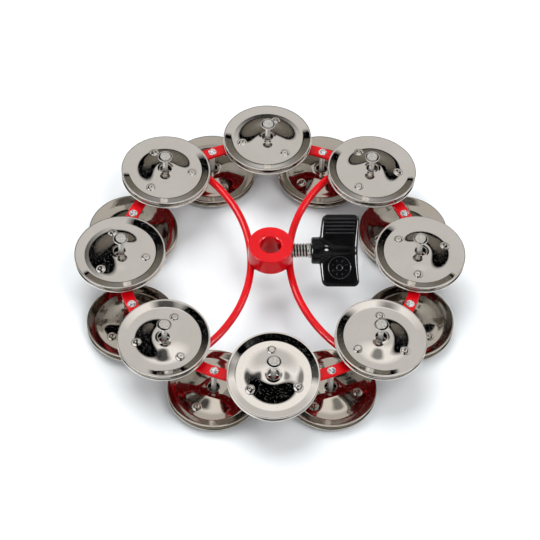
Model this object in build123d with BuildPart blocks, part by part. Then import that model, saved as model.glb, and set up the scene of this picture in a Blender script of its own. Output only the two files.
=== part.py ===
"""Headless jingle ring with a rod clamp: sixteen pairs of jingles on a flat steel ring.

Frame: origin at the centre of the rod bore, half way up the clamp hub.
+Z runs up along the bore, +X points along the clamp screw towards its knob.
All sizes in millimetres.
"""
import os
from math import asin, atan2, cos, degrees, radians, sin, sqrt

from build123d import *

os.makedirs("parts", exist_ok=True)

# ---- clamp hub ----
hub_radius = 9.525            # 3/4 inch round bar
hub_height = 8.4
bore_radius = 4.3             # slips over an 8 mm rod
skirt_radius = 5.8            # lower neck between the two wires
skirt_length = 4.2
skirt_edge = 0.4
bore_edge = 0.9               # rounding at the upper mouth of the bore
hub_edge = 0.5

# ---- flat ring ----
ring_radius = 63.0            # circle of the pins, middle of the bar
bar_width = 5.0
bar_thickness = 1.5
bar_edge = 0.3
hub_standoff = 1.0            # bottom of the hub above the top of the bar
bar_top = -hub_height / 2 - hub_standoff
bar_bottom = bar_top - bar_thickness
ring_inner = ring_radius - bar_width / 2
ring_outer = ring_radius + bar_width / 2

# ---- round wire braces ----
wire_radius = 1.6
wire_bow = 63.0               # radius of each brace arc
wire_apex = 8.1               # nearest the hub axis
wire_z = bar_top - 0.8

# ---- pins ----
stations = 8                  # on each side of the ring
pin_radius = 1.2
top_reach = 12.9              # bar face to underside of head
bottom_reach = 14.5
head_radius = 3.1
head_thickness = 0.9
head_edge = 0.18
face_radius = 2.15            # flat middle of the head
bevel_height = 0.4
rivet_radius = 1.8
rivet_height = 0.35

# ---- jingles ----
jingle_radius = 19.15
sheet = 0.6
hole_radius = 2.45
valley_radius = 15.4
brim_radius = 13.2            # the dome runs out into a flat brim here
cone_top = 5.8                # the dome's side is straight between these two radii
cone_foot = 10.9
dome_rise = 2.35              # top of the dome above the contact plane
lip_radius = 3.25
lip_rise = 0.18
rim_rise = 1.1
bump_radius = 1.9
bump_circle = 11.4
bump_height = 0.7
rest_gap = 0.1                # between touching jingles, and under the pair

# each resting pair: outward shift on the pin, extra height where it also sits on a brace,
# outward and sideways lean in degrees, turn of the upper and of the lower jingle;
# the first station is at +X, counted towards +Y
top_rest = [
    (0.5, 0.0, 2.8, -0.4, 21.9, 75),
    (0.4, 0.4, 3.2, -1.1, 72.6, 20),
    (0.0, 0.0, 2.8, 0.7, 100.8, 55),
    (-0.3, 0.6, 0.1, -1.6, 101.4, 10),
    (0.5, 0.0, 3.5, -0.2, 45.9, 85),
    (0.3, 0.4, 3.2, 0.0, 82.4, 35),
    (0.3, 0.0, 12.5, 0.1, 62.8, 110),
    (0.3, 0.4, 4.4, 1.8, 15.1, 60),
]
# the first lower station is half a step on from +X
bottom_rest = [
    (0.2, 0.0, 0.6, 0.3, 59.4, 90),
    (0.0, 0.0, 0.4, -0.5, 29.8, 15),
    (0.3, 0.0, 0.8, 0.2, 64.9, 100),
    (0.1, 0.0, 0.3, 0.6, 40.0, 5),
    (0.0, 0.0, 0.7, -0.3, 19.8, 70),
    (0.3, 0.0, 0.5, 0.4, 104.4, 50),
    (0.2, 0.0, 0.9, -0.2, 58.0, 33),
    (0.1, 0.0, 0.2, 0.5, 98.8, 12),
]

# ---- clamp screw and knob ----
screw_radius = 3.175          # 1/4-20 thread
pitch = 1.27
thread_depth = 0.62
tapped_clearance = 0.05
screw_tip = 4.6
thread_end = 16.2
neck_radius = 2.4
collar_clearance = 0.05
collar_start = 16.3
collar_end = 17.0
boss_start = 17.1
wing_start = 20.6
wing_end = 37.5
boss_radius = 5.7
wing_half = 15.3
wing_thickness = 6.4
wing_corner = 2.6
wing_edge = 1.0
barrel_radius = 4.6
wing_lean = 52.0              # long axis of the wing from vertical, towards +Y
screw_end = 33.0
rib_step = 1.5
rib_count = 5
mark_radius = 4.85
mark_offset = 7.2


def polar(radius, angle, z):
    """Point at a radius and azimuth, at height z."""
    return (radius * cos(radians(angle)), radius * sin(radians(angle)), z)


top_angles = [k * 360 / stations for k in range(stations)]
bottom_angles = [(k + 0.5) * 360 / stations for k in range(stations)]

# ---- ring: one flat bar rolled into a hoop, drilled for the pins ----
with BuildPart() as ring:
    with BuildSketch(Plane.XY.offset(bar_bottom)):
        Circle(ring_outer)
        Circle(ring_inner, mode=Mode.SUBTRACT)
    extrude(amount=bar_thickness)
    fillet(ring.edges(), bar_edge)
    with Locations(Plane.XY.offset(bar_bottom - 1)):
        with PolarLocations(ring_radius, 2 * stations):
            Cylinder(pin_radius, bar_thickness + 2,
                     align=(Align.CENTER, Align.CENTER, Align.MIN), mode=Mode.SUBTRACT)
ring.part.label = "ring"
export_step(ring.part, "parts/ring.step")

# ---- braces: round wire bowed towards the hub, cut to butt against the ring ----
brace_angle = degrees(asin(58.0 / wire_bow))


def make_brace(side):
    """One bowed wire; side is +1 for the screw side, -1 for the other."""
    centre = side * (wire_apex + wire_bow)
    first = (centre - side * wire_bow * cos(radians(brace_angle)),
             -wire_bow * sin(radians(brace_angle)), wire_z)
    middle = (side * wire_apex, 0, wire_z)
    last = (first[0], -first[1], wire_z)
    with BuildPart() as brace:
        with BuildLine() as path:
            ThreePointArc(first, middle, last)
        with BuildSketch(Plane(origin=path.line @ 0, z_dir=path.line % 0)):
            Circle(wire_radius)
        sweep()
        Cylinder(ring_inner, 20, mode=Mode.INTERSECT)
    return brace


brace_left = make_brace(-1)
brace_left.part.label = "brace_left"
export_step(brace_left.part, "parts/brace_left.step")

brace_right = make_brace(1)
brace_right.part.label = "brace_right"
export_step(brace_right.part, "parts/brace_right.step")

# ---- hub: short round bar with a lower neck, the rod bore and one tapped cross hole ----
with BuildPart() as hub:
    Cylinder(hub_radius, hub_height)
    fillet(hub.edges(), hub_edge)
    with Locations((0, 0, -hub_height / 2)):
        Cylinder(skirt_radius, skirt_length, align=(Align.CENTER, Align.CENTER, Align.MAX))
    Cylinder(bore_radius, hub_height + 3 * skirt_length, mode=Mode.SUBTRACT)
    bore_ends = hub.edges().filter_by(GeomType.CIRCLE).filter_by(
        lambda e: abs(e.radius - bore_radius) < 0.01).sort_by(Axis.Z)
    fillet(bore_ends[-1], bore_edge)
    fillet(hub.edges().filter_by(GeomType.CIRCLE).group_by(Axis.Z)[0], skirt_edge)
    with Locations(Plane.YZ.offset(bore_radius / 2)):
        Cylinder(screw_radius + tapped_clearance, hub_radius,
                 align=(Align.CENTER, Align.CENTER, Align.MIN), mode=Mode.SUBTRACT)
hub.part.label = "hub"
export_step(hub.part, "parts/hub.step")

# ---- welds: a collar of bead round each wire end, and a pad under the hub on each wire ----
joint_x = (wire_apex + wire_bow) ** 2 + ring_inner ** 2 - wire_bow ** 2
joint_x = joint_x / (2 * (wire_apex + wire_bow))
joint_y = sqrt(ring_inner ** 2 - joint_x ** 2)
with BuildPart() as ring_welds:
    for sx in (-1, 1):
        for sy in (-1, 1):
            along = Vector(sx * joint_y, sy * (wire_apex + wire_bow - joint_x), 0).normalized()
            foot = Vector(sx * joint_x, sy * joint_y, wire_z) - along * 2.2
            with Locations(Plane(origin=foot, z_dir=along)):
                Cone(wire_radius + 0.05, wire_radius + 0.85, 3.6,
                     align=(Align.CENTER, Align.CENTER, Align.MIN))
    Cylinder(ring_inner, 20 + 2 * abs(wire_z), mode=Mode.INTERSECT)
    add(brace_left.part, mode=Mode.SUBTRACT)
    add(brace_right.part, mode=Mode.SUBTRACT)
ring_welds.part.label = "ring_welds"
export_step(ring_welds.part, "parts/ring_welds.step")

pad_bottom = wire_z + 0.5
with BuildPart() as hub_welds:
    for sx in (-1, 1):
        with Locations((sx * wire_apex, 0, pad_bottom)):
            Box(4.4, 12, -hub_height / 2 - pad_bottom,
                align=(Align.CENTER, Align.CENTER, Align.MIN))
    with Locations((0, 0, wire_z)):
        Cylinder(hub_radius - 0.5, 20, mode=Mode.INTERSECT)
    add(brace_left.part, mode=Mode.SUBTRACT)
    add(brace_right.part, mode=Mode.SUBTRACT)
hub_welds.part.label = "hub_welds"
export_step(hub_welds.part, "parts/hub_welds.step")

# ---- pins: nails headed at the free end, riveted over where they leave the ring ----
def make_pin(reach):
    """One nail with the underside of its head at z = 0, shank pointing down."""
    with BuildPart() as pin:
        Cylinder(pin_radius, reach + bar_thickness,
                 align=(Align.CENTER, Align.CENTER, Align.MAX))
        Cylinder(head_radius, head_thickness - bevel_height,
                 align=(Align.CENTER, Align.CENTER, Align.MIN))
        with Locations((0, 0, head_thickness - bevel_height)):
            Cone(head_radius, face_radius, bevel_height,
                 align=(Align.CENTER, Align.CENTER, Align.MIN))
        fillet(pin.edges().filter_by(GeomType.CIRCLE).filter_by(
            lambda e: abs(e.radius - head_radius) < 0.01), head_edge)
        with Locations((0, 0, -reach - bar_thickness)):
            Cylinder(rivet_radius, rivet_height,
                     align=(Align.CENTER, Align.CENTER, Align.MAX))
        fillet(pin.edges().filter_by(GeomType.CIRCLE).group_by(Axis.Z)[0], 0.2)
    return pin


top_pin = make_pin(top_reach)
with BuildPart() as top_pins:
    for angle in top_angles:
        with Locations(Location(polar(ring_radius, angle, bar_top + top_reach))):
            add(top_pin.part)
top_pins.part.label = "top_pins"
export_step(top_pins.part, "parts/top_pins.step")

bottom_pin = make_pin(bottom_reach)
with BuildPart() as bottom_pins:
    for angle in bottom_angles:
        with Locations(Location(polar(ring_radius, angle, bar_bottom - bottom_reach),
                                (180, 0, 0))):
            add(bottom_pin.part)
bottom_pins.part.label = "bottom_pins"
export_step(bottom_pins.part, "parts/bottom_pins.step")

# ---- jingle: pressed sheet dish, domed middle, turned-up rim, three raised bumps ----
# contact plane at z = 0, dome towards +Z
crown = dome_rise - lip_rise - sheet
cone_slope = crown / ((cone_top - lip_radius) / 2 + (cone_foot - cone_top)
                      + (brim_radius - cone_foot) / 2)


def dome_z(radius):
    """Height of the top of the dome at a radius: rounded crown, straight side, rounded foot."""
    if radius < cone_top:
        return sheet + crown - cone_slope * (radius - lip_radius) ** 2 / 2 / (cone_top - lip_radius)
    if radius < cone_foot:
        return dome_z(cone_foot) + cone_slope * (cone_foot - radius)
    return sheet + cone_slope * (brim_radius - radius) ** 2 / 2 / (brim_radius - cone_foot)


crown_radius = (lip_radius + cone_top) / 2
foot_radius = (cone_foot + brim_radius) / 2
rim_slope = atan2(rim_rise, jingle_radius - valley_radius)
rim_dx = sheet * sin(rim_slope)
rim_dz = sheet * cos(rim_slope)
bump_slope = atan2(cone_slope * (brim_radius - bump_circle), brim_radius - cone_foot)
bump_foot = bump_radius + 0.3
crest = sheet / 2 + bump_height
bulge = (crest ** 2 + bump_foot ** 2) / (2 * crest)
with BuildPart() as jingle:
    with BuildSketch(Plane.XZ):
        with BuildLine():
            crown_top = ThreePointArc((lip_radius, dome_z(lip_radius)),
                                      (crown_radius, dome_z(crown_radius)),
                                      (cone_top, dome_z(cone_top)))
            side_top = Line(crown_top @ 1, (cone_foot, dome_z(cone_foot)))
            foot_top = ThreePointArc(side_top @ 1, (foot_radius, dome_z(foot_radius)),
                                     (brim_radius, sheet))
            brim_top = Line(foot_top @ 1, (valley_radius, sheet))
            rim_top = Line(brim_top @ 1, (jingle_radius - rim_dx / 2, sheet + rim_rise))
            rim_end = Line(rim_top @ 1,
                           (jingle_radius + rim_dx / 2, sheet + rim_rise - rim_dz))
            rim_low = Line(rim_end @ 1, (valley_radius, 0))
            low_brim = Line(rim_low @ 1, (brim_radius, 0))
            low_foot = ThreePointArc(low_brim @ 1, (foot_radius, dome_z(foot_radius) - sheet),
                                     (cone_foot, dome_z(cone_foot) - sheet))
            low_side = Line(low_foot @ 1, (cone_top, dome_z(cone_top) - sheet))
            low_crown = ThreePointArc(low_side @ 1, (crown_radius, dome_z(crown_radius) - sheet),
                                      (lip_radius, dome_z(lip_radius) - sheet))
            low_lip = Line(low_crown @ 1, (hole_radius, dome_rise - sheet))
            hole_wall = Line(low_lip @ 1, (hole_radius, dome_rise))
            Line(hole_wall @ 1, crown_top @ 0)
        make_face()
    revolve(axis=Axis.Z)
    fillet(jingle.edges().filter_by(GeomType.CIRCLE).filter_by(
        lambda e: abs(e.radius - valley_radius) < 0.01), 1.2)
    for k in range(3):
        out = Vector(1, 0, 0).rotate(Axis.Z, 120 * k)
        side = Vector(0, 1, 0).rotate(Axis.Z, 120 * k)
        normal = out * sin(bump_slope) + Vector(0, 0, cos(bump_slope))
        seat = out * bump_circle + Vector(0, 0, dome_z(bump_circle) - sheet / 2)
        for depth, how in ((0, Mode.ADD), (sheet, Mode.SUBTRACT)):
            foot = seat - normal * depth
            with BuildSketch(Plane(origin=foot, x_dir=normal.cross(side), z_dir=side)):
                with BuildLine():
                    floor = Line((0, 0), (bump_foot, 0))
                    knee = bump_foot / 2
                    ThreePointArc(floor @ 1,
                                  (knee, sqrt(bulge ** 2 - knee ** 2) - bulge + crest),
                                  (0, crest))
                    Line((0, crest), (0, 0))
                make_face()
            revolve(axis=Axis(foot, normal), mode=how)


def place_jingles(prefix, angles, rests, floor_z, foothold):
    """Both jingles of every pair on one side of the ring, leaning as they rest."""
    for number, (angle, rest) in enumerate(zip(angles, rests), start=1):
        shift, raised, lean_out, lean_side, turn_upper, turn_lower = rest
        lean = degrees(sqrt(radians(lean_out) ** 2 + radians(lean_side) ** 2))
        lift = foothold * sin(radians(lean))
        middle = floor_z + raised + lift + dome_rise + 1.5 * rest_gap
        pair = (Location(polar(ring_radius + shift, angle, middle), (0, 0, angle))
                * Location((0, 0, 0), (-lean_side, lean_out, 0)))
        seats = {
            "upper": Location((0, 0, rest_gap / 2), (0, 0, turn_upper)),
            "lower": Location((0, 0, -rest_gap / 2), (180, 0, turn_lower)),
        }
        for layer, seat in seats.items():
            with BuildPart() as piece:
                with Locations(pair * seat):
                    add(jingle.part)
            piece.part.label = f"{prefix}_{number}_{layer}"
            export_step(piece.part, f"parts/{piece.part.label}.step")


place_jingles("top", top_angles, top_rest, bar_top, lip_radius)
place_jingles("bottom", bottom_angles, bottom_rest, bar_bottom - bottom_reach,
              head_radius)

# ---- clamp screw: threaded shank, smooth neck, end buried in the knob ----
grooves = int((thread_end - screw_tip - 1.6) / pitch)
with BuildPart() as clamp_screw:
    with Locations(Plane.YZ.offset(screw_tip)):
        Cylinder(screw_radius, thread_end - screw_tip,
                 align=(Align.CENTER, Align.CENTER, Align.MIN))
    chamfer(clamp_screw.edges().filter_by(GeomType.CIRCLE).sort_by(Axis.X)[0], 0.6)
    with Locations(Plane.YZ.offset(thread_end)):
        Cylinder(neck_radius, screw_end - thread_end,
                 align=(Align.CENTER, Align.CENTER, Align.MIN))
    for k in range(grooves):
        crest_x = screw_tip + 1.2 + k * pitch
        with BuildSketch(Plane.XY):
            with BuildLine():
                Polyline((crest_x, screw_radius + 0.1),
                         (crest_x + pitch / 2, screw_radius - thread_depth),
                         (crest_x + pitch, screw_radius + 0.1),
                         (crest_x, screw_radius + 0.1))
            make_face()
        revolve(axis=Axis.X, mode=Mode.SUBTRACT)
clamp_screw.part.label = "clamp_screw"
export_step(clamp_screw.part, "parts/clamp_screw.step")

# ---- collar: loose plain washer between the thread and the knob ----
with BuildPart() as clamp_collar:
    with Locations(Plane.YZ.offset(collar_start)):
        Cylinder(screw_radius, collar_end - collar_start,
                 align=(Align.CENTER, Align.CENTER, Align.MIN))
        Cylinder(neck_radius + collar_clearance, collar_end - collar_start,
                 align=(Align.CENTER, Align.CENTER, Align.MIN), mode=Mode.SUBTRACT)
clamp_collar.part.label = "clamp_collar"
export_step(clamp_collar.part, "parts/clamp_collar.step")

# ---- knob: moulded wing with a boss, a barrel swell, grip ribs and a plain round badge ----
wing_plane = Plane(origin=(0, 0, 0), x_dir=(1, 0, 0),
                   z_dir=(0, -cos(radians(wing_lean)), sin(radians(wing_lean))))
wing_mid = (wing_start + wing_end) / 2
with BuildPart() as clamp_knob:
    with BuildSketch(wing_plane.offset(-wing_thickness / 2)):
        with BuildLine():
            Polyline((wing_start, 0), (wing_start + 0.9, wing_half), (wing_end, wing_half),
                     (wing_end - 0.6, 0), (wing_end, -wing_half),
                     (wing_start + 0.9, -wing_half), (wing_start, 0))
        make_face()
        fillet([v for v in vertices() if abs(abs(v.Y) - wing_half) < 0.1], wing_corner)
    extrude(amount=wing_thickness)
    fillet(clamp_knob.faces().filter_by(
        lambda f: abs(f.normal_at().dot(wing_plane.z_dir)) > 0.99).edges(), wing_edge)
    with Locations(Plane.YZ.offset(wing_start + 0.5)):
        Cylinder(barrel_radius, wing_end - wing_start - 1.5,
                 align=(Align.CENTER, Align.CENTER, Align.MIN))
    with Locations(Plane.YZ.offset(boss_start)):
        Cylinder(boss_radius, wing_start - boss_start + 1.2,
                 align=(Align.CENTER, Align.CENTER, Align.MIN))
        Cylinder(neck_radius, screw_end - boss_start, mode=Mode.SUBTRACT,
                 align=(Align.CENTER, Align.CENTER, Align.MIN))
    for face_side in (1, -1):
        face_plane = wing_plane.rotated((0 if face_side > 0 else 180, 0, 0))
        with BuildSketch(face_plane.offset(wing_thickness / 2 - 0.2)):
            for k in range(rib_count):
                with Locations((wing_mid, wing_half - 2.6 - k * rib_step)):
                    SlotCenterToCenter(wing_end - wing_start - 5, 0.7)
            with Locations((wing_mid, -mark_offset)):
                Circle(mark_radius)
                Circle(mark_radius - 0.55, mode=Mode.SUBTRACT)
                Circle(1.5)
        extrude(amount=0.5)
clamp_knob.part.label = "clamp_knob"
export_step(clamp_knob.part, "parts/clamp_knob.step")
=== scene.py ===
import math

import bmesh
import bpy
from mathutils import Matrix, Vector


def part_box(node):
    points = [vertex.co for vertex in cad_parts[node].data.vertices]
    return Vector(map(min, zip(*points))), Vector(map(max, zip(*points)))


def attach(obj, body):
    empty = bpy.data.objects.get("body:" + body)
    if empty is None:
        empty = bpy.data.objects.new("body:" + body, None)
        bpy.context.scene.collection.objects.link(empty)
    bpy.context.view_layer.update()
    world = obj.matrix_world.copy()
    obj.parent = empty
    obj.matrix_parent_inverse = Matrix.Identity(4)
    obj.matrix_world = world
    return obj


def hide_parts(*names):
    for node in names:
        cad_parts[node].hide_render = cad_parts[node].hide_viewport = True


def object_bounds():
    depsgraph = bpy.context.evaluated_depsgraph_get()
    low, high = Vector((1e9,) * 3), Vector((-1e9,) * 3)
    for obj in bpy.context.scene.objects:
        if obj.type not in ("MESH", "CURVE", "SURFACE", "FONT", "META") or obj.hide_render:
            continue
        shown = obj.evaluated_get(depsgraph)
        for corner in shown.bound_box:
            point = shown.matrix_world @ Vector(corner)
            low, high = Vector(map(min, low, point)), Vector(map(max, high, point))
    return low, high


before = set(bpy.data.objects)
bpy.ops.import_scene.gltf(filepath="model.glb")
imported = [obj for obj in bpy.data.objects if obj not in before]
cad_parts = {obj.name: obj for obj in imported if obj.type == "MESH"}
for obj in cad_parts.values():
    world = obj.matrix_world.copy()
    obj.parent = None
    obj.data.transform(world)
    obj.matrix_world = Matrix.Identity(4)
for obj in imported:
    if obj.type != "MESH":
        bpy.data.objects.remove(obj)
cad_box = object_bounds()
MM = 0.001
scene = bpy.context.scene


# ---------------------------------------------------------------- helpers
def mesh_object(name, verts, faces, smooth=True):
    """A mesh object from points in millimetres."""
    mesh = bpy.data.meshes.new(name)
    mesh.from_pydata([(x * MM, y * MM, z * MM) for x, y, z in verts], [], faces)
    mesh.validate()
    mesh.update()
    if smooth:
        mesh.polygons.foreach_set("use_smooth", [True] * len(mesh.polygons))
    obj = bpy.data.objects.new(name, mesh)
    scene.collection.objects.link(obj)
    return obj


def lathe(profile, angles):
    """Points and faces of a closed profile of (radius, height) turned round Z."""
    verts, faces = [], []
    n, m = len(profile), len(angles)
    for a in angles:
        c, s = math.cos(a), math.sin(a)
        verts += [(r * c, r * s, z) for r, z in profile]
    for i in range(m):
        j = (i + 1) % m
        for k in range(n):
            q = (k + 1) % n
            faces.append((i * n + k, j * n + k, j * n + q, i * n + q))
    return verts, faces


def cap_profile(points, angles):
    """A lathe whose profile starts and ends on the axis."""
    verts = [(0, 0, points[0][1])]
    m = len(angles)
    for r, z in points[1:-1]:
        verts += [(r * math.cos(a), r * math.sin(a), z) for a in angles]
    verts.append((0, 0, points[-1][1]))
    faces = []
    rings = len(points) - 2
    for i in range(m):
        j = (i + 1) % m
        faces.append((0, 1 + i, 1 + j))
        for k in range(rings - 1):
            a, b = 1 + k * m, 1 + (k + 1) * m
            faces.append((a + i, b + i, b + j, a + j))
        last = 1 + (rings - 1) * m
        faces.append((last + i, len(verts) - 1, last + j))
    return verts, faces


def even(n):
    return [2 * math.pi * i / n for i in range(n)]


def moved(verts, matrix):
    return [tuple(matrix @ Vector(v)) for v in verts]


def merged(parts):
    """Several (verts, faces) as one."""
    verts, faces = [], []
    for v, f in parts:
        base = len(verts)
        verts += v
        faces += [tuple(i + base for i in face) for face in f]
    return verts, faces


def rot(axis, degrees_):
    return Matrix.Rotation(math.radians(degrees_), 4, axis)


def recalc(obj):
    """Faces of every closed shell point outwards."""
    bm = bmesh.new()
    bm.from_mesh(obj.data)
    bmesh.ops.recalc_face_normals(bm, faces=bm.faces)
    bm.to_mesh(obj.data)
    bm.free()


# ---------------------------------------------------------------- materials
def new_material(name, **inputs):
    """A Principled material; keyword names are its socket names with underscores."""
    mat = bpy.data.materials.new(name)
    mat.use_nodes = True
    shader = mat.node_tree.nodes["Principled BSDF"]
    for key, value in inputs.items():
        shader.inputs[key.replace("_", " ")].default_value = value
    return mat, mat.node_tree, shader


def noise(tree, coord, scale, detail=4.0, rough=0.5, distortion=0.0):
    node = tree.nodes.new("ShaderNodeTexNoise")
    node.inputs["Scale"].default_value = scale
    node.inputs["Detail"].default_value = detail
    node.inputs["Roughness"].default_value = rough
    node.inputs["Distortion"].default_value = distortion
    tree.links.new(coord, node.inputs["Vector"])
    return node.outputs["Fac"]


def ramp(tree, fac, stops):
    node = tree.nodes.new("ShaderNodeValToRGB")
    node.color_ramp.elements[0].position = stops[0][0]
    node.color_ramp.elements[0].color = stops[0][1]
    node.color_ramp.elements[1].position = stops[-1][0]
    node.color_ramp.elements[1].color = stops[-1][1]
    for pos, col in stops[1:-1]:
        node.color_ramp.elements.new(pos).color = col
    tree.links.new(fac, node.inputs["Fac"])
    return node.outputs["Color"]


def spread(tree, fac, low, high, new_low, new_high):
    node = tree.nodes.new("ShaderNodeMapRange")
    for key, value in (("From Min", low), ("From Max", high),
                       ("To Min", new_low), ("To Max", new_high)):
        node.inputs[key].default_value = value
    tree.links.new(fac, node.inputs["Value"])
    return node.outputs["Result"]


def maths(tree, op, a, b=0):
    node = tree.nodes.new("ShaderNodeMath")
    node.operation = op
    for i, v in enumerate((a, b)):
        if isinstance(v, (int, float)):
            node.inputs[i].default_value = v
        else:
            tree.links.new(v, node.inputs[i])
    return node.outputs["Value"]


def bump(tree, height, strength, distance, after=None):
    node = tree.nodes.new("ShaderNodeBump")
    node.inputs["Strength"].default_value = strength
    node.inputs["Distance"].default_value = distance
    tree.links.new(height, node.inputs["Height"])
    if after is not None:
        tree.links.new(after, node.inputs["Normal"])
    return node.outputs["Normal"]


def object_coords(tree, stretch=(1, 1, 1)):
    tex = tree.nodes.new("ShaderNodeTexCoord")
    mapping = tree.nodes.new("ShaderNodeMapping")
    mapping.inputs["Scale"].default_value = stretch
    tree.links.new(tex.outputs["Object"], mapping.inputs["Vector"])
    return mapping.outputs["Vector"]


def grey(v):
    return (v, v, v, 1.0)


def mix(tree, factor, a, b):
    """A colour between a and b, each a socket or a constant."""
    node = tree.nodes.new("ShaderNodeMix")
    node.data_type = "RGBA"
    tree.links.new(factor, node.inputs["Factor"])
    for key, value in (("A", a), ("B", b)):
        if isinstance(value, tuple):
            node.inputs[key].default_value = value
        else:
            tree.links.new(value, node.inputs[key])
    return node.outputs["Result"]


def upward(tree):
    """How far the surface's normal points up, from -1 to 1."""
    geometry = tree.nodes.new("ShaderNodeNewGeometry")
    parts = tree.nodes.new("ShaderNodeSeparateXYZ")
    tree.links.new(geometry.outputs["Normal"], parts.inputs["Vector"])
    return parts.outputs["Z"]


def make_paint():
    """Gloss powder coat: orange peel, faint colour drift and fine grit, with painted shade on the
    underside.
    """
    mat, tree, shader = new_material("red_powder_coat", Roughness=0.14)
    shader.inputs["Specular IOR Level"].default_value = 0.17
    co = object_coords(tree)
    tone = noise(tree, co, 90, 5)
    coat = ramp(tree, tone, [(0.3, (0.50, 0.0012, 0.0045, 1)), (0.7, (0.57, 0.002, 0.007, 1))])
    # painted shade: faces that point down are darkened towards a deep red
    under = spread(tree, upward(tree), -0.2, -0.7, 0, 1)
    tree.links.new(mix(tree, under, coat, (0.22, 0.001, 0.003, 1)), shader.inputs["Base Color"])
    peel = noise(tree, co, 700, 2, 0.4)
    grit = noise(tree, co, 4200, 1, 0.5)
    tree.links.new(spread(tree, grit, 0.3, 0.75, 0.1, 0.2), shader.inputs["Roughness"])
    normal = bump(tree, peel, 0.25, 0.00005)
    tree.links.new(bump(tree, grit, 0.08, 0.00001, normal), shader.inputs["Normal"])
    return mat


def make_nickel(name, colour, wave, dust, haze=0.0, worn=0.0):
    """Polished nickel plate: slightly wavy sheet, smears, dust specks, hair marks, painted shade on
    faces that point down.
    If worn, flat tops and upright sides are rubbed dull and the bevel between them is painted dark
    as a reflection."""
    mat, tree, shader = new_material(name, Roughness=0.05)
    co = object_coords(tree)
    cells = tree.nodes.new("ShaderNodeTexVoronoi")
    cells.inputs["Scale"].default_value = 3000
    tree.links.new(co, cells.inputs["Vector"])
    grain = spread(tree, cells.outputs["Distance"], 0.12, 0.3, 1.0, 0.0)
    chance = tree.nodes.new("ShaderNodeSeparateColor")
    tree.links.new(cells.outputs["Color"], chance.inputs["Color"])
    picked = maths(tree, "GREATER_THAN", chance.outputs["Red"], 1 - dust)
    speck = maths(tree, "MULTIPLY", grain, picked)
    dull = (colour[0] * 0.94, colour[1] * 0.93, colour[2] * 0.91, 1)
    plate = ramp(tree, noise(tree, co, 60, 3), [(0.3, dull), (0.7, (*colour, 1))])
    dusted = mix(tree, speck, plate, (0.26, 0.28, 0.31, 1))

    up_z = upward(tree)
    flat = spread(tree, up_z, 0.95, 0.99, 0.0, worn)
    upright = spread(tree, maths(tree, "ABSOLUTE", up_z), 0.25, 0.12, 0.0, worn)
    rubbed = maths(tree, "ADD", flat, upright)
    # painted reflection: on worn pieces the bevel between flat tops and upright sides is darkened,
    # in place of the dark room it would mirror
    bevel = maths(tree, "MULTIPLY", spread(tree, up_z, 0.97, 0.93, 0.0, worn),
                  spread(tree, up_z, 0.6, 0.7, 0.0, 1.0))
    # painted shade and painted reflection: this factor fades the colour towards near black on faces
    # that point down and on the worn bevel
    light = maths(tree, "MULTIPLY", spread(tree, up_z, 0.0, -0.2, 1.0, 0.42),
                  spread(tree, bevel, 0.0, 1.0, 1.0, 0.35))
    scuffs = ramp(tree, noise(tree, co, 1500, 3),
                  [(0.35, (0.62, 0.6, 0.57, 1)), (0.65, (0.96, 0.93, 0.89, 1))])
    face = mix(tree, rubbed, dusted, scuffs)
    tree.links.new(mix(tree, light, (0.02, 0.02, 0.022, 1), face), shader.inputs["Base Color"])
    plated = maths(tree, "MULTIPLY", spread(tree, speck, 0, 1, 1.0, 0.25),
                   spread(tree, upright, 0, 1, 1.0, 0.5))
    tree.links.new(plated, shader.inputs["Metallic"])

    smear = noise(tree, co, 240, 4, 0.6, 0.6)
    rough = maths(tree, "ADD", spread(tree, smear, 0.4, 0.8, 0.02 + haze, 0.06 + haze),
                  maths(tree, "MULTIPLY", rubbed, 0.12))
    tree.links.new(maths(tree, "ADD", rough, maths(tree, "MULTIPLY", speck, 0.45)),
                   shader.inputs["Roughness"])
    swell = noise(tree, co, 130, 2, 0.4)
    hair = noise(tree, object_coords(tree, (900, 9000, 900)), 1, 2, 0.5)
    normal = bump(tree, swell, wave, 0.00012)
    tree.links.new(bump(tree, hair, 0.04, 0.000004, normal), shader.inputs["Normal"])
    return mat


def make_peened():
    """Hammered pin end: pale dull metal with dark curling tool marks."""
    mat, tree, shader = new_material("peened_end", Metallic=0.35, Roughness=0.35)
    co = object_coords(tree)
    curls = noise(tree, co, 620, 2, 0.5, 1.6)
    lines = maths(tree, "ABSOLUTE", maths(tree, "SUBTRACT", curls, 0.5))
    metal = ramp(tree, lines, [(0.0, grey(0.02)), (0.03, grey(0.08)), (0.065, grey(0.72)),
                               (1.0, grey(0.82))])
    tree.links.new(metal, shader.inputs["Base Color"])
    tree.links.new(spread(tree, curls, 0.3, 0.7, 0.25, 0.45), shader.inputs["Roughness"])
    tree.links.new(bump(tree, lines, 0.3, 0.00005), shader.inputs["Normal"])
    return mat


def make_steel():
    """Bright zinc-plated screw steel with turning marks and painted shade down in the thread."""
    mat, tree, shader = new_material("zinc_steel", Metallic=1.0, Roughness=0.14)
    co = object_coords(tree, (6000, 300, 300))
    marks = noise(tree, co, 1, 3, 0.6)
    plate = ramp(tree, marks, [(0.3, (0.62, 0.61, 0.58, 1)), (0.7, (0.82, 0.81, 0.78, 1))])
    place = tree.nodes.new("ShaderNodeSeparateXYZ")
    tree.links.new(object_coords(tree), place.inputs["Vector"])
    square = [maths(tree, "MULTIPLY", place.outputs[axis], place.outputs[axis]) for axis in "YZ"]
    radius = maths(tree, "SQRT", maths(tree, "ADD", *square))
    # painted shade: the thread's roots, nearest the axis, are darkened towards near black
    painted_thread_shade = spread(tree, radius, 2.75 * MM, 3.05 * MM, 1, 0)
    tree.links.new(mix(tree, painted_thread_shade, plate, (0.09, 0.085, 0.08, 1)), shader.inputs["Base Color"])
    tree.links.new(spread(tree, marks, 0.3, 0.7, 0.1, 0.2), shader.inputs["Roughness"])
    tree.links.new(bump(tree, marks, 0.15, 0.00001), shader.inputs["Normal"])
    return mat


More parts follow.
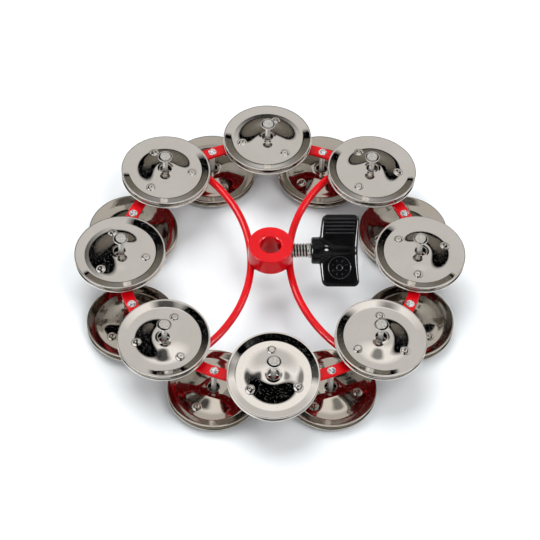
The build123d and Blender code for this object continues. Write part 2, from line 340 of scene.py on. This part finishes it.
def make_plastic(name, deep, pale):
    """Black moulded plastic: glossy skin with faint flow marks and a fine grain."""
    mat, tree, shader = new_material(name, Roughness=0.1)
    shader.inputs["Specular IOR Level"].default_value = 0.16
    co = object_coords(tree)
    flow = noise(tree, object_coords(tree, (1, 2.5, 2.5)), 120, 4, 0.6)
    black = ramp(tree, flow, [(0.3, (deep, deep, 1.1 * deep, 1)),
                              (0.7, (pale, pale, 1.1 * pale, 1))])
    tree.links.new(black, shader.inputs["Base Color"])
    skin = noise(tree, co, 2600, 2, 0.5)
    tree.links.new(spread(tree, flow, 0.3, 0.7, 0.07, 0.13), shader.inputs["Roughness"])
    tree.links.new(bump(tree, skin, 0.08, 0.00001), shader.inputs["Normal"])
    return mat


paint = make_paint()
nickel = make_nickel("nickel_jingle", (0.87, 0.83, 0.785), 0.10, 0.24)
# painted shade: the lower jingles use a darker, warmer copy of the upper jingles' nickel
low_nickel_painted_shade = make_nickel("nickel_low_jingle_painted_shade", (0.68, 0.625, 0.55), 0.06, 0.20, 0.05)
pin_nickel = make_nickel("nickel_pin", (0.90, 0.88, 0.84), 0.05, 0.05, worn=0.85)
peened = make_peened()
steel = make_steel()
plastic = make_plastic("black_plastic", 0.002, 0.0044)
# painted highlight: the ribs and badge use a lighter copy of the black plastic
painted_highlight_plastic = make_plastic("black_plastic_edges", 0.012, 0.022)


def dress(obj, material, slot_name, body, *nodes):
    """Material, record slot (not used), the body it rides on and the CAD nodes it stands for."""
    obj.data.materials.clear()
    obj.data.materials.append(material)
    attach(obj, body)
    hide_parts(*nodes)


# ---------------------------------------------------------------- levels read from the frame
ring_low, ring_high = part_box("ring")
bar_top, bar_bottom = ring_high[2] / MM, ring_low[2] / MM
# sizes in millimetres that match the CAD's; a reach is from the hoop's face to under a pin's head
RING_RADIUS, PIN_RADIUS, HEAD_RADIUS = 63.0, 1.2, 3.1
TOP_REACH, BOTTOM_REACH = 12.9, 14.5
STEP = 45.0
TOP_ANGLES = [STEP * n for n in range(8)]
BOTTOM_ANGLES = [STEP * n + STEP / 2 for n in range(8)]

# ---------------------------------------------------------------- jingles
# BRIM was picked between the results of scratch fits to the photo's reflections
DISH_R, VALLEY, BRIM, LIP, HOLE, SHEET = 19.15, 15.4, 13.2, 3.25, 2.45, 0.6
RISE, LIP_RISE, RIM_RISE, GAP = 2.35, 0.18, 1.1, 0.1
BUMPS, BUMP_R, BUMP_RIDGE, BUMP_H = 11.4, 1.95, 0.7, 0.62
CROWN = RISE - LIP_RISE - SHEET
BLEND = 0.5  # half the width of the curve from brim to rim, and the lip's slope outside LIP


def sheet_top(r):
    """Height of the top of the pressed sheet: smooth dome, flat brim, rim, pierced lip."""
    u = min(1.0, max(0.0, (r - LIP) / (BRIM - LIP)))
    z = SHEET + CROWN * (1 - 3 * u * u + 2 * u ** 3)
    slope = RIM_RISE / (DISH_R - VALLEY)
    if r > VALLEY - BLEND:
        t = min(r - VALLEY + BLEND, 2 * BLEND)
        z += slope * t * t / (4 * BLEND) + slope * max(0.0, r - VALLEY - BLEND)
    if r < LIP + BLEND:
        t = min(1.0, (LIP + BLEND - r) / (LIP + BLEND - HOLE))
        z += LIP_RISE * t * t * (3 - 2 * t) * 0.95
    return z


def spaced(start, stop, count):
    return [start + (stop - start) * i / count for i in range(count)]


def jingle_mesh():
    """One dish: contact plane at z = 0, dome towards +Z."""
    top_r = [HOLE + 0.16] + spaced(HOLE + 0.25, LIP + 0.6, 6) + spaced(LIP + 0.6, 9.2, 16)
    top_r += spaced(9.2, 13.6, 30) + spaced(13.6, 14.7, 4)
    top_r += spaced(14.7, 16.1, 10) + spaced(16.1, 18.95, 6)
    profile = [(HOLE, sheet_top(HOLE) - SHEET / 2), (HOLE + 0.05, sheet_top(HOLE) - 0.12)]
    profile += [(r, sheet_top(r)) for r in top_r]
    edge = sheet_top(DISH_R - 0.15)
    profile += [(DISH_R - 0.13, edge - 0.01), (DISH_R - 0.03, edge - 0.09),
                (DISH_R + 0.03, edge - 0.24), (DISH_R + 0.03, edge - SHEET + 0.22),
                (DISH_R - 0.04, edge - SHEET + 0.06), (DISH_R - 0.16, edge - SHEET - 0.02)]
    under = [18.4, 17.4, 16.3, 15.9, 15.5, 15.1, 14.7, 14.0] + spaced(13.4, 9.0, 18)
    under += [8.0, 6.5, 5.0, 3.9, 3.2]
    profile += [(r, sheet_top(r) - SHEET) for r in under]
    profile.append((HOLE + 0.05, sheet_top(HOLE) - SHEET + 0.1))
    # as many steps round each bump as in the whole gap between two bumps
    fine, steps, angles = math.radians(11.0), 26, []
    for k in range(3):
        centre = 2 * math.pi * k / 3
        angles += [centre - fine + 2 * fine * i / steps for i in range(steps)]
        gap = 2 * math.pi / 3 - 2 * fine
        angles += [centre + fine + gap * i / steps for i in range(steps)]
    verts, faces = lathe(profile, angles)
    out = []
    for x, y, z in verts:
        for k in range(3):
            a = 2 * math.pi * k / 3
            d = math.hypot(x - BUMPS * math.cos(a), y - BUMPS * math.sin(a))
            if d < BUMP_R:
                z += BUMP_H * (1 - ((d - BUMP_RIDGE) / (BUMP_R - BUMP_RIDGE)) ** 2)
        out.append((x, y, z))
    return out, faces


# the CAD's rest positions: shift and rise in millimetres, then in degrees the lean outwards, the
# lean sideways, the turn of the upper and the turn of the lower jingle. Scratch scripts measured
# the top leans and all the turns of upper jingles but 40.0 on the photo; the rest is set by hand.
TOP_REST = [
    (0.5, 0.0, 2.8, -0.4, 21.9, 75), (0.4, 0.4, 3.2, -1.1, 72.6, 20),
    (0.0, 0.0, 2.8, 0.7, 100.8, 55), (-0.3, 0.6, 0.1, -1.6, 101.4, 10),
    (0.5, 0.0, 3.5, -0.2, 45.9, 85), (0.3, 0.4, 3.2, 0.0, 82.4, 35),
    (0.3, 0.0, 12.5, 0.1, 62.8, 110), (0.3, 0.4, 4.4, 1.8, 15.1, 60)]
BOTTOM_REST = [
    (0.2, 0.0, 0.6, 0.3, 59.4, 90), (0.0, 0.0, 0.4, -0.5, 29.8, 15),
    (0.3, 0.0, 0.8, 0.2, 64.9, 100), (0.1, 0.0, 0.3, 0.6, 40.0, 5),
    (0.0, 0.0, 0.7, -0.3, 19.8, 70), (0.3, 0.0, 0.5, 0.4, 104.4, 50),
    (0.2, 0.0, 0.9, -0.2, 58.0, 33), (0.1, 0.0, 0.2, 0.5, 98.8, 12)]

jingle_verts, jingle_faces = jingle_mesh()


def hang(side, number, angle, rest, seat_z, foothold):
    shift, raised, lean_out, lean_side, turn_upper, turn_lower = rest
    lean = math.hypot(math.radians(lean_out), math.radians(lean_side))
    middle = seat_z + raised + foothold * math.sin(lean) + RISE + 1.5 * GAP
    a, r = math.radians(angle), RING_RADIUS + shift
    pair = (Matrix.Translation((r * math.cos(a), r * math.sin(a), middle)) @ rot("Z", angle)
            @ rot("X", -lean_side) @ rot("Y", lean_out))
    upper = pair @ Matrix.Translation((0, 0, GAP / 2)) @ rot("Z", turn_upper)
    lower = pair @ Matrix.Translation((0, 0, -GAP / 2)) @ rot("X", 180) @ rot("Z", turn_lower)
    for layer, place in (("upper", upper), ("lower", lower)):
        node = f"{side}_{number}_{layer}"
        obj = mesh_object(f"jingle_{node}", moved(jingle_verts, place), jingle_faces)
        recalc(obj)
        dress(obj, nickel if side == "top" else low_nickel_painted_shade, "nickel", node, node)


for n in range(8):
    hang("top", n + 1, TOP_ANGLES[n], TOP_REST[n], bar_top, LIP)
    hang("bottom", n + 1, BOTTOM_ANGLES[n], BOTTOM_REST[n], bar_bottom - BOTTOM_REACH, HEAD_RADIUS)


# ---------------------------------------------------------------- pins
def nail(reach):
    """Pin with the underside of its head at z = 0 and its shank down through the bar."""
    head = [(0, 0.86), (1.2, 0.87), (1.9, 0.9), (2.1, 0.9), (2.25, 0.86), (2.55, 0.73),
            (2.8, 0.62), (2.95, 0.54), (3.05, 0.44), (HEAD_RADIUS, 0.3), (3.08, 0.14),
            (3.0, 0.03), (2.85, 0.0), (1.5, 0.0), (1.3, -0.07)]
    end = -reach - (bar_top - bar_bottom)
    shank = [(PIN_RADIUS, z) for z in (-0.25, -0.6, end + 0.3, end)]
    return cap_profile(head + shank + [(0, end - 0.05)], even(40))


def rivet(reach, seed):
    """Peened end of a pin: a low button with three swirled dents."""
    face = -reach - (bar_top - bar_bottom)
    button = [(0, face + 0.3), (1.7, face + 0.3), (1.78, face + 0.02), (1.82, face - 0.08),
              (1.74, face - 0.22), (1.5, face - 0.32), (1.2, face - 0.36), (0.8, face - 0.36),
              (0.4, face - 0.34), (0, face - 0.33)]
    verts, faces = cap_profile(button, even(40))
    out = []
    for x, y, z in verts:
        r = math.hypot(x, y)
        if z < face - 0.2 and r < 1.6:
            a = math.atan2(y, x) + seed
            z += 0.18 * math.exp(-((r - 0.75) / 0.4) ** 2) * (0.5 + 0.5 * math.cos(3 * a + 2.2 * r))
        out.append((x, y, z))
    return out, faces


def pins(side, angles, start, reach, flip, node):
    nails, rivets = [], []
    for k, angle in enumerate(angles):
        a = math.radians(angle)
        place = Matrix.Translation((RING_RADIUS * math.cos(a), RING_RADIUS * math.sin(a), start))
        if flip:
            place = place @ rot("X", 180)
        verts, faces = nail(reach)
        nails.append((moved(verts, place), faces))
        verts, faces = rivet(reach, 1.7 * k)
        rivets.append((moved(verts, place), faces))
    for name, parts, material in (("pins", nails, pin_nickel), ("rivets", rivets, peened)):
        obj = mesh_object(f"{name}_{side}", *merged(parts))
        recalc(obj)
        dress(obj, material, "nickel", "frame", node)


pins("above", TOP_ANGLES, bar_top + TOP_REACH, TOP_REACH, False, "top_pins")
pins("below", BOTTOM_ANGLES, bar_bottom - BOTTOM_REACH, BOTTOM_REACH, True, "bottom_pins")

# ---------------------------------------------------------------- red frame, the CAD's own meshes
RED_NODES = ("ring", "brace_left", "brace_right", "hub", "ring_welds", "hub_welds")
for node in RED_NODES:
    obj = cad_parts[node]
    obj.data.materials.clear()
    obj.data.materials.append(paint)

# ---------------------------------------------------------------- clamp screw
SCREW_R, PITCH, DEPTH, TIP_R, NECK_R = 3.175, 1.27, 0.62, 2.45, 2.4
TIP, THREAD_END, COLLAR_START, SCREW_END = 4.6, 16.2, 16.3, 32.0


def screw_mesh():
    """Helical thread along +X with a tapered tip and a plain neck, closed at both ends."""
    around, per_turn = 48, 14
    steps = int((THREAD_END - TIP) / PITCH * per_turn)
    rows = []
    for i in range(steps + 1):
        x = TIP + (THREAD_END - TIP) * i / steps
        row = []
        for j in range(around):
            phase = (x / PITCH - j / around) % 1.0
            height = min(1.0, max(0.0, 1.25 - 2.5 * min(phase, 1 - phase)))
            r = SCREW_R - DEPTH * (1 - height)
            r = min(r, TIP_R + (x - TIP) * 1.1)
            if x > THREAD_END - 0.5:
                r = max(r, SCREW_R - 0.06)
            row.append((x, r))
        rows.append(row)
    for x, r in ((THREAD_END + 0.02, NECK_R), (SCREW_END, NECK_R)):
        rows.append([(x, r)] * around)
    verts, faces = [], []
    for row in rows:
        for j, (x, r) in enumerate(row):
            a = 2 * math.pi * j / around
            verts.append((x, r * math.cos(a), r * math.sin(a)))
    for i in range(len(rows) - 1):
        for j in range(around):
            k = (j + 1) % around
            here, ahead = i * around, (i + 1) * around
            faces.append((here + j, here + k, ahead + k, ahead + j))
    verts.append((TIP - 0.02, 0, 0))
    verts.append((SCREW_END, 0, 0))
    last = (len(rows) - 1) * around
    for j in range(around):
        k = (j + 1) % around
        faces.append((k, j, len(verts) - 2))
        faces.append((last + j, last + k, len(verts) - 1))
    return verts, faces


screw = mesh_object("screw_thread", *screw_mesh())
recalc(screw)
dress(screw, steel, "zinc_steel", "clamp_handle", "clamp_screw")

ring_profile = [(2.46, 0.1), (2.54, 0.0), (3.08, 0.0), (3.17, 0.09), (3.17, 0.61), (3.08, 0.7),
                (2.54, 0.7), (2.46, 0.6)]
verts, faces = lathe(ring_profile, even(64))
collar_place = Matrix.Translation((COLLAR_START, 0, 0)) @ rot("Y", 90)
collar = mesh_object("screw_collar", moved(verts, collar_place), faces)
recalc(collar)
dress(collar, steel, "zinc_steel", "clamp_collar", "clamp_collar")

# ---------------------------------------------------------------- knob
WING_START, WING_END, WING_HALF, WING_THICK, WING_LEAN = 20.6, 37.5, 15.3, 6.4, 52.0
WING_TAPER, END_CORNER, ROOT_CORNER = 0.35, 2.4, 2.8
BADGE_Y = -7.2
wing_lean = math.radians(WING_LEAN)
# wing frame: local x along the screw, local y along the wing, local z out of its front face
WING = Matrix(((1, 0, 0, 0), (0, math.sin(wing_lean), -math.cos(wing_lean), 0),
               (0, math.cos(wing_lean), math.sin(wing_lean), 0), (0, 0, 0, 1)))


def wing_block():
    """The flat wing: slightly bowed ends, rounded corners, thinner towards its tips."""
    outline = []

    def corner(x, y, radius, start, steps):
        for i in steps:
            a = start + math.pi / 2 * i / 9
            outline.append((x + radius * math.cos(a), y + radius * math.sin(a)))

    end_x, end_y = WING_END - END_CORNER, WING_HALF - END_CORNER
    root_x, root_y = WING_START + 1.0 + ROOT_CORNER, WING_HALF - ROOT_CORNER
    for i in range(25):
        t = -1 + 2 * i / 24
        outline.append((WING_END - 0.7 * (1 - t * t), t * end_y))
    corner(end_x, end_y, END_CORNER, 0, range(1, 9))
    corner(root_x, root_y, ROOT_CORNER, math.pi / 2, range(9))
    for i in range(25):
        t = 1 - 2 * i / 24
        outline.append((WING_START + 1.0 * t * t, t * root_y))
    corner(root_x, -root_y, ROOT_CORNER, math.pi, range(1, 9))
    corner(end_x, -end_y, END_CORNER, 1.5 * math.pi, range(9))
    mid_x, m = (WING_START + WING_END) / 2, len(outline)
    verts, faces = [], []
    edge = ((2.3, 1), (1.3, 0.95), (0.55, 0.82), (0.12, 0.64), (0, 0.4))
    for inset, level in [(d, -k) for d, k in edge] + list(reversed(edge)):
        for x, y in outline:
            half = WING_THICK / 2 - WING_TAPER * abs(y / WING_HALF)
            reach = math.hypot(x - mid_x, y)
            k = 1 - inset / reach
            verts.append((mid_x + (x - mid_x) * k, y * k, level * half))
    for layer in range(2 * len(edge) - 1):
        for i in range(m):
            j = (i + 1) % m
            faces.append((layer * m + i, layer * m + j, (layer + 1) * m + j, (layer + 1) * m + i))
    faces.append(tuple(reversed(range(m))))
    faces.append(tuple((2 * len(edge) - 1) * m + i for i in range(m)))
    return verts, faces


def along_x(points, count=72):
    """A solid turned about X from (radius, x) points."""
    verts, faces = cap_profile([(0, points[0][1])] + points + [(0, points[-1][1])], even(count))
    return moved(verts, rot("Y", 90)), faces


boss = along_x([(4.6, 17.12), (5.3, 17.2), (5.62, 17.5), (5.7, 18.0), (5.7, 20.3), (5.55, 21.5),
                (5.1, 22.8), (4.5, 24.2), (4.0, 25.8), (3.7, 27.5), (3.5, 33.0), (3.2, 36.0)])
body = mesh_object("knob_body", *merged([wing_block(), boss]))
recalc(body)
remesh = body.modifiers.new("skin", "REMESH")
remesh.mode = "VOXEL"
remesh.voxel_size = 0.3 * MM
relax = body.modifiers.new("relax", "SMOOTH")
relax.factor = 0.5
relax.iterations = 9
bpy.context.view_layer.update()
done = bpy.data.meshes.new_from_object(body.evaluated_get(bpy.context.evaluated_depsgraph_get()))
body.modifiers.clear()
body.data = done
done.transform(WING)
done.polygons.foreach_set("use_smooth", [True] * len(done.polygons))
dress(body, plastic, "black_plastic", "clamp_handle", "clamp_knob")


def bar(x0, x1, y, z, half_width, height):
    """A grip rib: a low rounded bar along x."""
    verts, faces, arc = [], [], 8
    stations = [(x0, 0.15), (x0 + 0.2, 0.75), (x0 + 0.5, 1), (x1 - 0.5, 1),
                (x1 - 0.2, 0.75), (x1, 0.15)]
    for x, k in stations:
        for i in range(arc + 1):
            a = math.pi * i / arc
            verts.append((x, y + half_width * k * math.cos(a),
                          z - 0.25 + (height * k + 0.25) * math.sin(a)))
    n = arc + 1
    for s in range(len(stations) - 1):
        for i in range(arc):
            faces.append((s * n + i, s * n + i + 1, (s + 1) * n + i + 1, (s + 1) * n + i))
        faces.append((s * n + arc, s * n, (s + 1) * n, (s + 1) * n + arc))
    faces.append(tuple(range(n)))
    faces.append(tuple(reversed(range((len(stations) - 1) * n, len(stations) * n))))
    return verts, faces


def hoop(cx, cy, z, radius, half_width, height):
    """A low rounded ring that stands on the wing's face."""
    points = [(radius + half_width * math.cos(t), z - 0.2 + (height + 0.2) * max(0.0, math.sin(t)))
              for t in [math.pi * i / 8 for i in range(9)]]
    points += [(radius - half_width, z - 0.3), (radius + half_width, z - 0.3)]
    verts, faces = lathe(points, even(56))
    return moved(verts, Matrix.Translation((cx, cy, 0))), faces


def grip_details(turned):
    """Five ribs on one half of a face and a plain sunburst badge on the other."""
    mid = (WING_START + WING_END) / 2
    level = WING_THICK / 2
    parts = []
    for k in range(5):
        y = WING_HALF - 1.9 - 1.5 * k
        z = level - WING_TAPER * y / WING_HALF - 0.02
        parts.append(bar(WING_START + 2.4, WING_END - 1.9, y, z, 0.42, 0.3))
    low = level - WING_TAPER * -BADGE_Y / WING_HALF - 0.03
    parts.append(hoop(mid, BADGE_Y, low, 4.7, 0.28, 0.3))
    parts.append(hoop(mid, BADGE_Y, low, 1.2, 0.3, 0.22))
    ray_verts, ray_faces = bar(2.3, 3.6, 0, low, 0.2, 0.2)
    for k in range(8):
        place = Matrix.Translation((mid, BADGE_Y, 0)) @ rot("Z", STEP * k + STEP / 2)
        parts.append((moved(ray_verts, place), ray_faces))
    verts, faces = merged(parts)
    return moved(verts, WING @ rot("X", turned)), faces


details = mesh_object("knob_grip", *merged([grip_details(0), grip_details(180)]))
recalc(details)
dress(details, painted_highlight_plastic, "black_plastic", "clamp_handle", "clamp_knob")

# ---------------------------------------------------------------- floor
floor_z = cad_box[0][2]
floor_mesh = bpy.data.meshes.new("floor")
floor_mesh.from_pydata([(-4, -4, floor_z), (4, -4, floor_z), (4, 4, floor_z), (-4, 4, floor_z)],
                       [], [(0, 1, 2, 3)])
floor = bpy.data.objects.new("floor", floor_mesh)
scene.collection.objects.link(floor)
floor_mat, _, floor_shader = new_material("floor_paper", Base_Color=(0.81, 0.84, 0.858, 1),
                                          Roughness=0.75)
floor_shader.inputs["Specular IOR Level"].default_value = 0.2
floor_mesh.materials.append(floor_mat)

# ---------------------------------------------------------------- camera
# solved by least squares from the pin heads and rivet ends in the photo: degrees, metres and, for
# the lens, millimetres; the aim is off the middle of the hoop's top by these steps up and right
AZIMUTH, ELEVATION, ROLL, DISTANCE, LENS = -3.08, 52.82, -2.46, 1.1213, 176.47
AIM_UP, AIM_RIGHT = -0.00508, 0.00017
az, el, ro = (math.radians(v) for v in (AZIMUTH, ELEVATION, ROLL))
back = Vector((math.sin(az) * math.cos(el), -math.cos(az) * math.cos(el), math.sin(el)))
right = Vector((math.cos(az), math.sin(az), 0))
up = back.cross(right)
level_point = Vector((0, 0, bar_top * MM))
aim = level_point + up * AIM_UP + right * AIM_RIGHT
turned_right = right * math.cos(ro) - up * math.sin(ro)
turned_up = right * math.sin(ro) + up * math.cos(ro)
camera_data = bpy.data.cameras.new("camera")
camera_data.sensor_width = 36
camera_data.lens = LENS
camera_data.clip_start = 0.01
camera_data.clip_end = 20
camera = bpy.data.objects.new("camera", camera_data)
scene.collection.objects.link(camera)
spin = Matrix((turned_right, turned_up, back)).transposed().to_4x4()
camera.matrix_world = Matrix.Translation(aim + back * DISTANCE) @ spin
scene.camera = camera


# ---------------------------------------------------------------- light
def area(name, location, size, watts, glossy=True):
    """A rectangular lamp that faces the middle of the object."""
    data = bpy.data.lights.new(name, "AREA")
    data.shape = "RECTANGLE"
    data.size, data.size_y = size
    data.energy = watts
    obj = bpy.data.objects.new(name, data)
    scene.collection.objects.link(obj)
    facing = (Vector() - Vector(location)).to_track_quat("-Z", "Y")
    obj.matrix_world = Matrix.Translation(location) @ facing.to_matrix().to_4x4()
    obj.visible_camera = False
    obj.visible_glossy = glossy
    return obj


area("key", (-0.25, 0.66, 1.08), (1.1, 1.1), 19.5, glossy=False)
area("fill", (0.7, -0.3, 1.2), (0.9, 0.9), 10, glossy=False)
area("front", (0.0, -1.3, 0.8), (1.2, 0.6), 3.5, glossy=False)

# highlights that only the paint, or the paint and the knob, receive
paint_only = bpy.data.collections.new("paint")
paint_and_plastic = bpy.data.collections.new("paint_and_plastic")
for name in RED_NODES:
    paint_only.objects.link(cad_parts[name])
    paint_and_plastic.objects.link(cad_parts[name])
for piece in (body, details):
    paint_and_plastic.objects.link(piece)
for name, location, size, watts, receivers in (
        ("glint_left", (-0.62, 0.45, 0.85), (0.45, 0.45), 20, paint_and_plastic),
        ("glint_right", (0.75, 0.25, 0.8), (0.25, 0.6), 8, paint_and_plastic),
        ("glint_top", (0.0, 0.2, 1.1), (0.45, 0.1), 5, paint_only),
        ("glint_front_left", (-0.85, -0.38, 0.42), (0.35, 0.6), 50, paint_and_plastic),
        ("glint_front_right", (0.85, -0.3, 0.42), (0.25, 0.5), 24, paint_and_plastic)):
    lamp = area(name, location, size, watts)
    lamp.visible_diffuse = False
    lamp.light_linking.receiver_collection = receivers

world = bpy.data.worlds.new("studio")
world.use_nodes = True
scene.world = world
wt = world.node_tree
coords = wt.nodes.new("ShaderNodeTexCoord")
split = wt.nodes.new("ShaderNodeSeparateXYZ")
wt.links.new(coords.outputs["Generated"], split.inputs["Vector"])
# each wall's brightness by height, where 0.5 is the horizon; Y and X choose the wall
height = spread(wt, split.outputs["Z"], -1, 1, 0, 1)
back_wall = ramp(wt, height, [(0.49, grey(0.7)), (0.5, grey(0.85)), (0.59, grey(0.75)),
                              (0.64, grey(0.28)), (0.70, (0.17, 0.155, 0.13, 1)),
                              (0.79, (0.115, 0.104, 0.088, 1)), (0.84, grey(0.006)),
                              (0.9, grey(0.001))])
side_wall = ramp(wt, height, [(0.49, grey(0.7)), (0.5, grey(0.9)), (0.66, grey(0.85)),
                              (0.72, grey(0.3)), (0.77, grey(0.004)), (0.9, grey(0.001))])
window = ramp(wt, height, [(0.49, grey(0.7)), (0.5, grey(1.0)), (0.91, grey(1.0)),
                           (0.94, grey(0.3)), (0.96, grey(0.001))])
walls = mix(wt, spread(wt, split.outputs["Y"], 0.35, 0.75, 0, 1), side_wall, back_wall)
aside = maths(wt, "ADD", spread(wt, split.outputs["X"], -0.15, -0.3, 0, 1),
              spread(wt, split.outputs["X"], 0.15, 0.3, 0, 0.3))
beside = maths(wt, "MULTIPLY", aside, spread(wt, split.outputs["Y"], 0.15, -0.02, 0, 1))
wt.links.new(mix(wt, beside, walls, window), wt.nodes["Background"].inputs["Color"])
wt.nodes["Background"].inputs["Strength"].default_value = 1.0


def soft_panel(name, height, centre, half, glow):
    """An overhead panel with a soft edge and two darker patches, seen only in reflections."""
    x0, x1 = centre[0] - half[0] * 1.1, centre[0] + half[0] * 1.1
    y0, y1 = centre[1] - half[1] * 1.1, centre[1] + half[1] * 1.1
    corners = [(x0, y0, height), (x1, y0, height), (x1, y1, height), (x0, y1, height)]
    obj = mesh_object(name, corners, [(3, 2, 1, 0)], smooth=False)
    mat, tree, shader = new_material(name, Base_Color=(0, 0, 0, 1), Roughness=1.0)
    shader.inputs["Specular IOR Level"].default_value = 0
    tex = tree.nodes.new("ShaderNodeTexCoord")
    parts = tree.nodes.new("ShaderNodeSeparateXYZ")
    tree.links.new(tex.outputs["Object"], parts.inputs["Vector"])
    powers = []
    for axis, c, h in (("X", centre[0], half[0]), ("Y", centre[1], half[1])):
        offset = maths(tree, "SUBTRACT", parts.outputs[axis], c * MM)
        away = maths(tree, "ABSOLUTE", maths(tree, "DIVIDE", offset, h * MM))
        powers.append(maths(tree, "POWER", away, 2.7))
    reach = maths(tree, "ADD", powers[0], powers[1])
    edge = spread(tree, reach, 0.80, 1.08, 1.0, 0.0)
    front = spread(tree, parts.outputs["Y"], 0.03, -0.02, 1.0, 1.6)
    level = maths(tree, "MULTIPLY", maths(tree, "MULTIPLY", edge, front), glow)
    for x, y, radius, darkest in ((-61, -40, 27, 0.08), (61, -40, 25, 0.25)):
        dx = maths(tree, "SUBTRACT", parts.outputs["X"], x * MM)
        dy = maths(tree, "SUBTRACT", parts.outputs["Y"], y * MM)
        squares = [maths(tree, "MULTIPLY", d, d) for d in (dx, dy)]
        gap = maths(tree, "SQRT", maths(tree, "ADD", *squares))
        shade = spread(tree, gap, 0.55 * radius * MM, 1.15 * radius * MM, darkest, 1.0)
        level = maths(tree, "MULTIPLY", level, shade)
    shader.inputs["Emission Color"].default_value = (1.0, 0.985, 0.965, 1)
    tree.links.new(level, shader.inputs["Emission Strength"])
    obj.data.materials.append(mat)
    obj.visible_camera = False
    obj.visible_diffuse = False
    obj.visible_shadow = False
    obj.visible_transmission = False


# 160 mm was the best of the heights that a scratch script tried against the photo's reflections;
# the centre and half size were typed in after it and are near two scratch fits
soft_panel("soft_panel", bar_top + 160, (20, 82), (125, 155), 0.6)

scene.view_settings.view_transform = "Standard"
scene.view_settings.look = "None"
